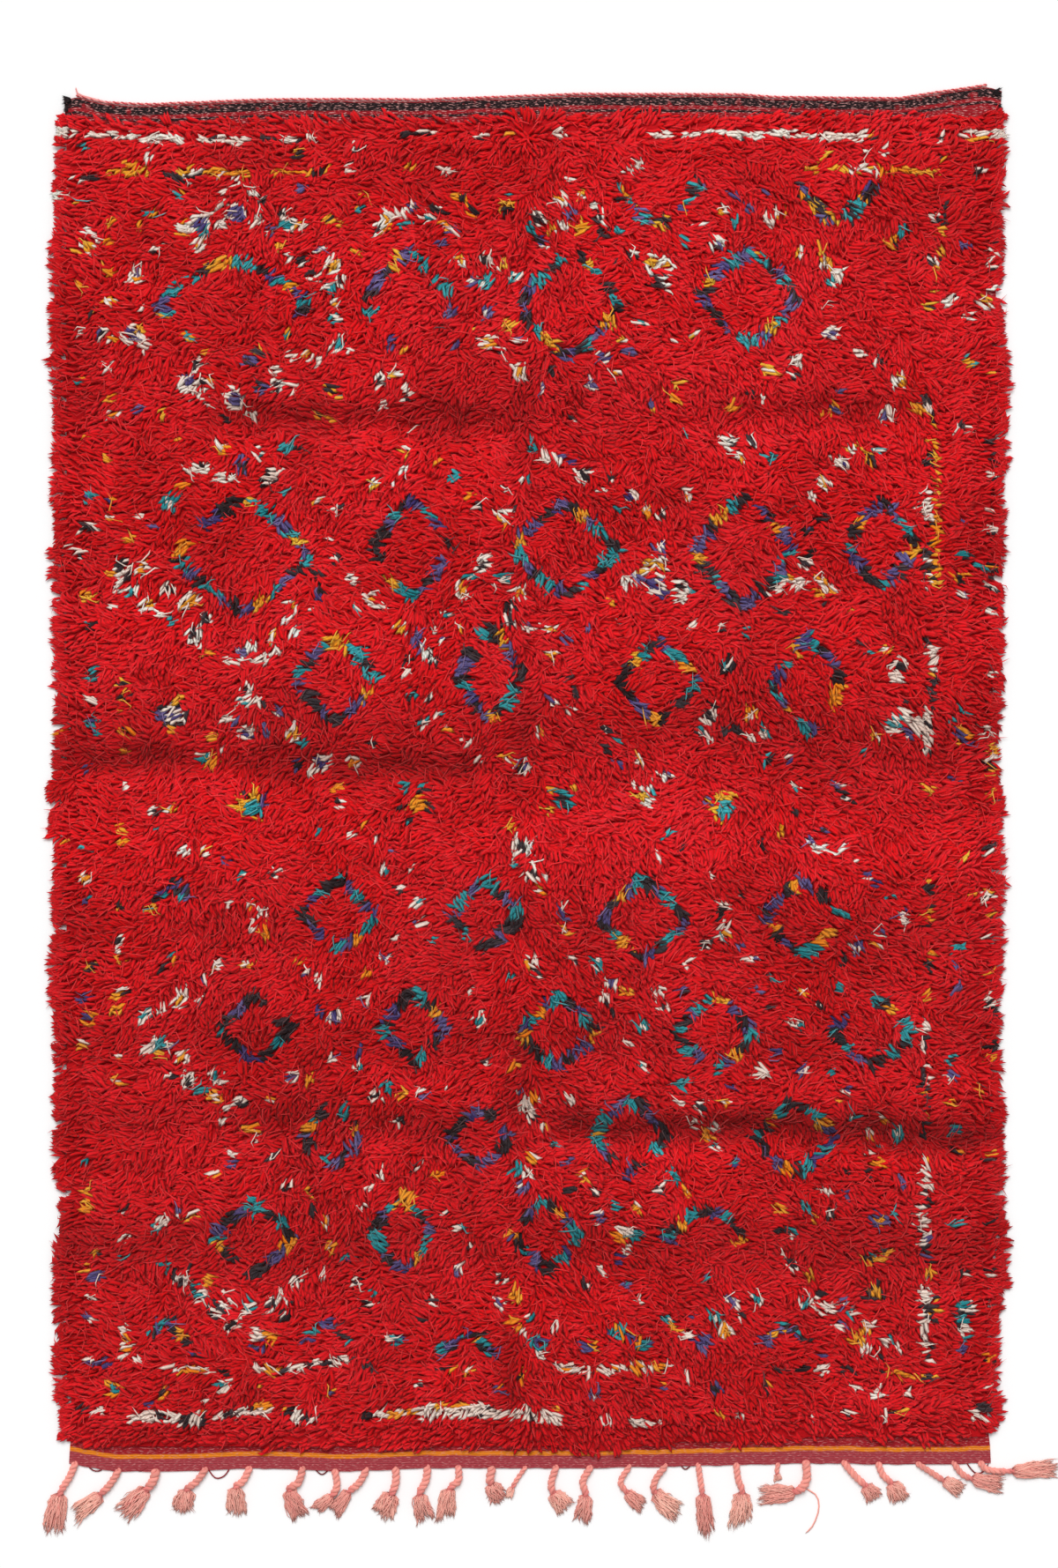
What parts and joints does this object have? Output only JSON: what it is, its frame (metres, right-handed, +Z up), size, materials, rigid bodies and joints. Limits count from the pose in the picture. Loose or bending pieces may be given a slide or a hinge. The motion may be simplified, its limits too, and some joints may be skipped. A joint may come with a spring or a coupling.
{
  "type": "moroccan rug",
  "caption": "Flat hand-knotted shag rug with a red pile and small diamond motifs, a flat-woven head end and a fringe of twisted warp ends at the foot.",
  "frame": {"origin": "on the floor, under the middle of the rug's woven ground", "axes": "+X across the rug, +Y along it to the flat-woven head end, +Z up out of the pile"},
  "size_m": [2.1353, 3.0624, 0.0325],
  "materials": {
    "ground_weave": "flat-woven wool, dark red with a broken black band and pale warp flecks",
    "wool_pile": "deep knotted wool shag in red with ivory, orange, teal, violet and charcoal motifs",
    "warp_yarn": "twisted salmon warp yarn ending in loose tufts",
    "edge_cord": "twined pink and red yarn",
    "dark_yarn": "loose charcoal wool yarn"
  },
  "bodies": {
    "root": {"ground_cloth": "ground_weave", "pile": "wool_pile", "warp_fringe": "warp_yarn", "head_cord": "edge_cord", "corner_tuft_left": "dark_yarn", "corner_tuft_right": "dark_yarn"}
  },
  "joints": []
}
